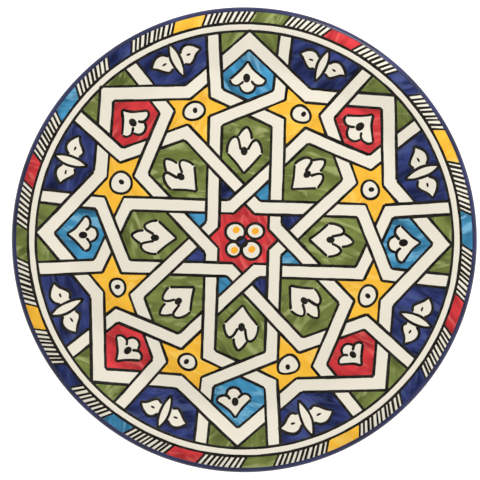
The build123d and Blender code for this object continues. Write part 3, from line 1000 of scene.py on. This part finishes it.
def blob(length, width, middle=(0, 0), turn=0, points=16):
    """A small oval spot, as its outline."""
    spots = []
    for i in range(points):
        t = 2 * math.pi * i / points
        x, y = turned((length / 2 * math.cos(t), width / 2 * math.sin(t)), turn)
        spots.append((middle[0] + x, middle[1] + y))
    return spots


def bud(sides, lobes, crown, heart):
    """A pointed leaf: two sides from the tip, a lobe at the end of each, and a crown between."""
    left, right = [smooth_line(side) for side in sides]
    left_lobe, right_lobe = [smooth_line(lobe) for lobe in lobes]
    top = smooth_line(crown)
    strokes = [(line, 1.0) for line in (left, right, left_lobe, right_lobe, top)]
    out = [lobe[:cut] for lobe, cut in ((left_lobe, 18), (right_lobe, 18))]
    outline = left + out[0] + top[2:-2] + out[1][::-1] + right[::-1][:-1]
    return Motif([outline], strokes, [heart])


PETAL_BUD = bud(
    [[(13.9, -1.1), (2.6, 8.7)], [(13.9, -1.1), (8.3, -5.2), (2.4, -10.6)]],
    [[(2.3, 9.0), (-1.2, 8.5), (-4.5, 6.9), (-5.4, 5.0), (-3.8, 2.9), (0.3, 0.8)],
     [(2.5, -10.8), (-1.0, -10.7), (-4.9, -9.4), (-7.0, -7.0), (-6.2, -4.9), (-3.0, -3.9), (0.5, -3.1)]],
    [(-5.6, 2.9), (-9.3, 2.3), (-12.2, 0.6), (-12.4, -0.8), (-10.4, -3.0), (-7.0, -5.2)],
    blob(5.0, 4.0, (0.9, -1.2)),
)
KITE_BUD = bud(
    [[(10.2, 0.4), (5.0, 4.3), (-0.8, 10.3)], [(10.2, 0.2), (6.0, -2.7), (3.3, -5.8), (-0.3, -10.7)]],
    [[(-0.9, 10.4), (-3.4, 9.2), (-4.4, 6.3), (-3.2, 3.9), (-1.6, 2.2)],
     [(-0.3, -10.8), (-2.9, -9.4), (-3.9, -6.3), (-3.1, -3.7), (-1.0, -2.2)]],
    [(-4.3, 4.7), (-7.2, 3.1), (-8.5, 0.0), (-7.1, -3.4), (-4.0, -4.8)],
    blob(5.3, 4.2, (0.3, 0.6)),
)
# each copy's shift, size and turn, as the hand placed it, anticlockwise from X
PETAL_PLACES = [
    (0.8, 0.3, 0.98, 0), (-1.2, -0.7, 0.98, 0), (0.3, 0.1, 1.03, 0), (-0.2, -0.6, 1.0, 3),
    (-0.2, 0.2, 1.0, 0), (-1.2, 0.6, 0.97, -3), (-0.2, 0.8, 1.01, -2), (0.9, 0.2, 0.95, 0),
]
KITE_PLACES = [
    (-0.5, -0.2, 1.04, 3), (0.4, 0.3, 1.06, 0), (-0.1, 0.3, 1.02, -1), (-0.2, -0.2, 0.99, -1),
    (-0.2, -0.1, 0.98, 0), (0.0, 0.6, 0.95, 0), (1.3, -2.7, 0.96, 4), (-0.8, -0.5, 0.86, -3),
]
BUTTERFLY_PLACES = [
    (0.2, -0.4, 1.02, 0), (-0.1, 0.1, 0.95, -1), (0.1, 0.1, 1.0, 3), (-0.5, 0.2, 0.97, 3),
    (-0.1, 1.4, 1.02, 5), (0.0, -0.1, 0.96, 0), (-0.2, -2.7, 1.05, -1), (0.1, -1.4, 0.98, -3),
]
# each eye's reach: outwards, inwards, to its left and to its right, and its dot's middle
EYES = [
    (4.9, 5.3, 6.1, 5.0, (0.6, 0.4)), (5.4, 4.4, 4.8, 7.0, (1.2, -2.3)),
    (5.7, 4.7, 7.0, 6.0, (0.6, -0.3)), (5.4, 7.2, 6.2, 6.8, (-0.8, -0.9)),
    (3.6, 5.4, 5.8, 4.8, (-0.8, 0.1)), (4.1, 5.1, 5.2, 5.7, (-0.3, -0.9)),
    (4.0, 6.9, 4.7, 8.4, (-0.2, -2.3)), (5.6, 4.8, 5.7, 7.4, (0.4, -0.7)),
]


def butterfly():
    """A long leaf across the field with a pointed wing each side."""
    leaf = [(11.3, -0.1), (6.5, 1.9), (1.2, 2.6), (-5.0, 1.5), (-10.2, -0.7)]
    under = [(11.3, -0.3), (6.5, -2.5), (1.2, -3.2), (-5.0, -2.7), (-10.2, -0.9)]
    wings = [
        ([(4.4, 2.8), (6.7, 6.0), (6.7, 9.6), (4.8, 12.6), (1.6, 15.3)],
         [(1.6, 15.3), (-0.2, 12.0), (-3.2, 8.5), (-4.5, 5.9), (-2.9, 3.0)]),
        ([(3.0, -3.5), (5.9, -6.0), (6.7, -9.4), (4.8, -13.2), (1.0, -16.8)],
         [(1.0, -16.8), (-0.6, -13.0), (-3.6, -9.6), (-4.7, -7.0), (-3.0, -4.0)]),
    ]
    left, right = smooth_line(leaf), smooth_line(under)
    shapes, strokes = [left + right[::-1][1:-1]], [(left, 1.0), (right, 1.0)]
    for outer, inner in wings:
        far, near = smooth_line(outer), smooth_line(inner)
        shapes.append(far + near[1:])
        strokes += [(far, 1.15), (near, 1.1)]
    return Motif(shapes, strokes, [blob(3.0, 1.25, (1.1, 7.0), 98), blob(2.7, 1.3, (1.0, -8.3), 84)])


def eye(outwards, inwards, left, right, dot):
    """A white egg with a dark dot in the middle of a star."""
    ring = []
    for i in range(28):
        c, s = math.cos(math.tau * i / 28), math.sin(math.tau * i / 28)
        ring.append((c * (outwards if c > 0 else inwards), s * (left if s > 0 else right)))
    return Motif([ring], [(ring, 1.0)], [blob(3.4, 2.8, dot, -15)])


# centre flower: its middle, its heart's size, each petal's middle and size, and each dot's middle
FLOWER_MIDDLE = (-1.5, -1.3)
FLOWER_HEART = (5.6, 5.4)
FLOWER_PETALS = [
    (-3.8, 5.7, 11.6, 10.8), (8.0, 6.3, 10.4, 9.2), (-4.9, -4.4, 8.8, 8.8), (5.5, -4.8, 11.4, 11.0),
]
FLOWER_DOTS = [(-3.2, 6.9), (7.9, 6.2), (-4.4, -4.9), (5.7, -4.4)]


def centre_flower():
    """The outlines of the centre flower's petals and of its dots."""
    rings, dots = [], []
    for (x, y, wide, high), (dx, dy) in zip(FLOWER_PETALS, FLOWER_DOTS):
        middle = (x + FLOWER_MIDDLE[0], y + FLOWER_MIDDLE[1])
        rings.append(blob(wide, high, middle, 0, 28))
        dots.append(blob(4.4, 3.9, (dx + FLOWER_MIDDLE[0], dy + FLOWER_MIDDLE[1]), 30, 16))
    return rings, dots


def motif_set():
    """Every motif of the drawing, by kind."""
    sets = {"petal": [], "sky": [], "red": [], "butterfly": [], "eye": []}
    for j in EVERY:
        x, y, size, turn = PETAL_PLACES[j]
        sets["petal"].append(PETAL_BUD.at(PETAL_BUD_R, STEP * j, 180 + turn, size, (x, y)))
        x, y, size, turn = KITE_PLACES[j]
        sets["red" if j % 2 else "sky"].append(KITE_BUD.at(KITE_BUD_R, STEP * j, turn, size, (x, y)))
        x, y, size, turn = BUTTERFLY_PLACES[j]
        sets["butterfly"].append(butterfly().at(BUTTERFLY_R, STEP * (j + 0.5), turn, size, (x, y)))
        sets["eye"].append(eye(*EYES[j]).at(EYE_R, STEP * (j + 0.5)))
    return sets


def cells_of(field, numbers, motifs):
    """Each field's outline with the shapes that its colour leaves bare."""
    return [(field(number), motif.bare) for number, motif in zip(numbers, motifs)]


# ======================= the border =======================
def across(angle, inner, outer):
    """A slanted line over the border from the inner to the outer radius."""
    spots = []
    for radius in (inner, outer):
        share = (radius - BORDER_R) / (FACE_END_R - BORDER_R)
        spots.append(turned((radius, 0), angle - LEAN * share))
    return spots


def border_block(middle, span):
    """Outline of one colour block."""
    start = across(middle + span / 2, BORDER_R, BLOCK_END_R)
    end = across(middle - span / 2, BORDER_R, BLOCK_END_R)
    return ring_arc(start[0], end[0]) + ring_arc(end[1], start[1])


def hatch_lines():
    """The slanted strokes between the blocks, and those at the blocks' ends."""
    hand = random.Random(SEED + 2)
    strokes = []
    again = [("", BLOCKS[0][1] - 360, BLOCKS[0][2])]
    for (_, this, span), (_, following, next_span) in zip(BLOCKS, BLOCKS[1:] + again):
        first, last = this - span / 2, following + next_span / 2
        gaps = round((first - last) / HATCH_STEP)
        for n in range(gaps + 1):
            stray = hand.uniform(-HATCH_STRAY, HATCH_STRAY) if 0 < n < gaps else 0
            angle = first + (last - first) * n / gaps + stray
            inner = BORDER_R + hand.uniform(-0.5, 0.3)
            strokes.append((across(angle, inner, HATCH_END_R), hand.uniform(0.95, 1.2), False))
    return strokes


# ======================= operators =======================
class PLATE_OT_turned_form(bpy.types.Operator):
    """Turn the clay, its glaze coats and the cobalt lip, and give the foot its bare clay finish"""

    bl_idname = "plate.turned_form"
    bl_label = "Turned form"

    def execute(self, context):
        inner_nose = nose_section(0.0)
        outer_nose = nose_section(GLAZE_T)
        core = face_section() + inner_nose[1:-1] + back_section()
        turned_piece("clay_core", core, "bare_clay", "clay_body")
        face = face_section(GLAZE_T) + outer_nose[1:] + inner_nose[::-1] + face_section()[::-1][1:]
        turned_piece("face_glaze", face, "cream_glaze", "front_glaze")
        join = FOOT_OUT_R + FOOT_SPREAD + GLAZE_T
        back = [p for p in back_section() if p[0] > join] + [(join, BACK_Z)]
        turned_piece("back_glaze_coat", back + lifted(back, -GLAZE_T)[::-1], "cream_glaze", "back_glaze")
        recess = FOOT_IN_R - FOOT_SPREAD - GLAZE_T
        disc = [(0, BACK_Z), (recess, BACK_Z), (recess, BACK_Z - GLAZE_T), (0, BACK_Z - GLAZE_T)]
        turned_piece("foot_well_coat", disc, "cream_glaze", "foot_well_glaze")
        rim = [(LIP_START_R, LIP_Z + GLAZE_T + 0.1)] + nose_section(GLAZE_T + COBALT_T)
        under = [(LIP_START_R, LIP_Z + GLAZE_T)] + nose_section(GLAZE_T)
        half = len(rim) // 2 + 2
        turned_piece("cobalt_lip", rim[:half] + under[:half][::-1], "cobalt", "rim_line")
        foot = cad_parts["foot_ring"]
        for slot in foot.material_slots:
            slot.material = finish_of("bare_clay")
        return {"FINISHED"}


class PLATE_OT_colour_coats(bpy.types.Operator):
    """Fill the fields between the straps with colour, leaving the motifs bare"""

    bl_idname = "plate.colour_coats"
    bl_label = "Colour coats"

    def execute(self, context):
        motifs = motif_set()
        petals, dots = centre_flower()
        triangles = [(outline, []) for j in EVERY for outline in rim_triangles(j)]
        for name, slot, node, cells in (
            ("centre_star", "red", "centre_star_red", [(centre_star(), petals)]),
            ("navy_chips", "navy", "inner_chips_navy", [(chip(k), []) for k in EVERY[::2]]),
            ("sky_chips", "sky", "inner_chips_sky", [(chip(k), []) for k in EVERY[1::2]]),
            ("green_petals", "green", "petal_fields_green", cells_of(petal, EVERY, motifs["petal"])),
            ("yellow_stars", "yellow", "star_fields_yellow", cells_of(star, EVERY, motifs["eye"])),
            ("sky_kites", "sky", "kite_fields_sky", cells_of(kite, EVERY[::2], motifs["sky"])),
            ("red_kites", "red", "kite_fields_red", cells_of(kite, EVERY[1::2], motifs["red"])),
            ("navy_rim_fields", "navy", "rim_fields_navy", cells_of(rim_field, EVERY, motifs["butterfly"])),
            ("green_triangles", "green", "rim_triangles_green", triangles),
            ("flower_dots", "orange", "centre_flower_dots", [(dot, []) for dot in dots]),
        ):
            coat_piece(name, cells, slot, node)
        return {"FINISHED"}


class PLATE_OT_strap_lines(bpy.types.Operator):
    """Brush the outlines of the interlaced straps"""

    bl_idname = "plate.strap_lines"
    bl_label = "Strap outlines"

    def execute(self, context):
        hand = random.Random(settings().brush.seed)
        runs = [loop_run(j, side) for j in EVERY for side in SIDES]
        for k in EVERY:
            for side in SIDES:
                runs += strap_runs(k, side)
        strokes = []
        for run in runs:
            for a, b in zip(run, run[1:]):
                over = (hand.uniform(0.1, 0.7), hand.uniform(0.1, 0.7))
                u = unit(a, b)
                start = (a[0] - u[0] * over[0], a[1] - u[1] * over[0])
                end = (b[0] + u[0] * over[1], b[1] + u[1] * over[1])
                strokes.append(([start, end], hand.uniform(0.95, 1.2), False))
        stroke_piece("strap_lines", strokes, "black_line", "strap_outlines")
        return {"FINISHED"}


class PLATE_OT_motif_lines(bpy.types.Operator):
    """Brush the outlines and dots of the buds, butterflies, eyes and centre flower"""

    bl_idname = "plate.motif_lines"
    bl_label = "Motif outlines"

    def execute(self, context):
        motifs = motif_set()
        buds = motifs["petal"] + motifs["sky"] + motifs["red"]
        for name, group, node in (
            ("bud_lines", buds, "bud_outlines"),
            ("butterfly_lines", motifs["butterfly"], "butterfly_outlines"),
        ):
            strokes = [(line, pressure, False) for motif in group for line, pressure in motif.strokes]
            stroke_piece(name, strokes, "black_line", node, spacing=0.6)
        rings = [(line, pressure, True) for motif in motifs["eye"] for line, pressure in motif.strokes]
        stroke_piece("eye_lines", rings, "black_line", "star_eye_outlines", spacing=0.6)
        coat_piece("bud_heart_spots", [(b, []) for m in buds for b in m.blobs], "black_line", "bud_hearts")
        spots = [(b, []) for m in motifs["eye"] + motifs["butterfly"] for b in m.blobs]
        coat_piece("eye_and_wing_spots", spots, "black_line")
        petals, _ = centre_flower()
        heart = blob(*FLOWER_HEART, FLOWER_MIDDLE, 0, 20)
        rings = [(ring, 1.05, True) for ring in petals + [heart]]
        stroke_piece("flower_lines", rings, "black_line", "centre_flower_outlines", spacing=0.6)
        coat_piece("flower_heart", [(heart, [])], "navy", "centre_flower_heart")
        return {"FINISHED"}


class PLATE_OT_border(bpy.types.Operator):
    """Paint the two rings, the colour blocks and the slanted strokes of the border"""

    bl_idname = "plate.border"
    bl_label = "Border"

    def execute(self, context):
        for colour in ("green", "red", "navy", "yellow", "sky"):
            cells = [(border_block(a, span), []) for name, a, span in BLOCKS if name == colour]
            node = f"border_blocks_{colour}"
            coat_piece(f"{colour}_blocks", cells, colour, node, grid=0.45, relief=1.3)
        strokes = hatch_lines()
        stroke_piece("hatch_strokes", strokes, "black_line", "border_hatching", width=0.78, wander=0.4)
        circles = [[turned((radius, 0), i) for i in range(360)] for radius in (FIELD_R, BORDER_R)]
        rings = [(circle, 1.0, True) for circle in circles]
        stroke_piece("border_rings", rings, "black_line", "ring_lines", wander=0.45)
        return {"FINISHED"}


class PLATE_OT_stage(bpy.types.Operator):
    """Add the pale floor, the soft lights and the camera"""

    bl_idname = "plate.stage"
    bl_label = "Stage"

    def execute(self, context):
        scene = bpy.context.scene
        half = 3.0
        corners = [(-half, -half, 0), (half, -half, 0), (half, half, 0), (-half, half, 0)]
        floor = new_piece("floor", corners, (), [(0, 1, 2, 3)])
        pale = Finish("Pale floor", 0.9, coat=0.0)
        spot = pale.place()
        pale.colour(pale.ramp(pale.noise(spot, 3.0), [(0.3, 0.78), (0.7, 0.82)]))
        pale.shader.inputs["Emission Color"].default_value = (1, 1, 1, 1)
        pale.shader.inputs["Emission Strength"].default_value = 0.55
        floor.data.materials.append(pale.material)

        scene.world = studio_world()
        scene.view_settings.view_transform = "Standard"

        light = bpy.data.lights.new("key_light", "AREA")
        light.size, light.energy = 0.22, 3.0
        lamp = bpy.data.objects.new("key_light", light)
        lamp.location = (0.27, 0.52, 0.48)
        lamp.rotation_euler = (-lamp.location).to_track_quat("-Z", "Y").to_euler()
        scene.collection.objects.link(lamp)

        camera = bpy.data.cameras.new("camera")
        camera.sensor_width = 36.0
        distance, view_width = 3.0, 0.27902
        camera.lens = camera.sensor_width * (distance - LIP_MID_Z * MM) / view_width
        eye_point = bpy.data.objects.new("camera", camera)
        eye_point.location = (-2.55 * MM, -0.18 * MM, distance)
        camera.clip_end = 20
        scene.collection.objects.link(eye_point)
        scene.camera = eye_point
        return {"FINISHED"}


def studio_world():
    """A light tent: a band all round, brighter on the key side, with a dark top and a dimmer bottom."""
    world = bpy.data.worlds.new("Studio")
    world.use_nodes = True
    tree = world.node_tree

    def node(kind, *values, **properties):
        return added(tree, kind, values, properties)

    way = node("ShaderNodeTexCoord")["Generated"]
    parts = node("ShaderNodeSeparateXYZ", way)
    band = node("ShaderNodeMapRange", parts[2], 0.70, 0.80, 1.0, 0.03, interpolation_type="SMOOTHSTEP")[0]
    side = node("ShaderNodeMath", parts[0], parts[1], operation="ADD")[0]
    tilt = node("ShaderNodeMath", side, 0.12, 1.0, operation="MULTIPLY_ADD")[0]
    below = node("ShaderNodeMapRange", parts[2], -0.1, 0.0, 0.45, 1.0)[0]
    power = node("ShaderNodeMath", band, tilt, operation="MULTIPLY")[0]
    power = node("ShaderNodeMath", power, below, operation="MULTIPLY")[0]
    strength = node("ShaderNodeMath", power, 1.22, operation="MULTIPLY")[0]
    light = tree.nodes["Background"]
    light.inputs["Color"].default_value = (1.0, 0.985, 0.955, 1)
    tree.links.new(strength, light.inputs["Strength"])
    return world


class PLATE_PT_panel(bpy.types.Panel):
    """Lists the plate's makers and settings"""

    bl_label = "Painted plate"
    bl_idname = "PLATE_PT_panel"
    bl_space_type = "VIEW_3D"
    bl_region_type = "UI"
    bl_category = "Plate"

    def draw(self, context):
        layout = self.layout
        for maker in MAKERS:
            layout.operator(maker.bl_idname)
        plate = context.scene.plate_settings
        layout.prop(plate, "turning_steps")
        for group in (plate.brush, plate.coat, plate.colours):
            box = layout.box()
            for key in group.bl_rna.properties.keys()[2:]:
                box.prop(group, key)


MAKERS = (
    PLATE_OT_turned_form, PLATE_OT_colour_coats, PLATE_OT_strap_lines,
    PLATE_OT_motif_lines, PLATE_OT_border, PLATE_OT_stage,
)
CLASSES = (BrushSettings, CoatSettings, GlazeColours, PlateSettings, *MAKERS, PLATE_PT_panel)


def register():
    for cls in CLASSES:
        bpy.utils.register_class(cls)
    bpy.types.Scene.plate_settings = bpy.props.PointerProperty(type=PlateSettings)


def unregister():
    del bpy.types.Scene.plate_settings
    for cls in reversed(CLASSES):
        bpy.utils.unregister_class(cls)


def main():
    register()
    bpy.ops.plate.turned_form()
    bpy.ops.plate.colour_coats()
    bpy.ops.plate.strap_lines()
    bpy.ops.plate.motif_lines()
    bpy.ops.plate.border()
    bpy.ops.plate.stage()


if __name__ == "__main__":
    main()
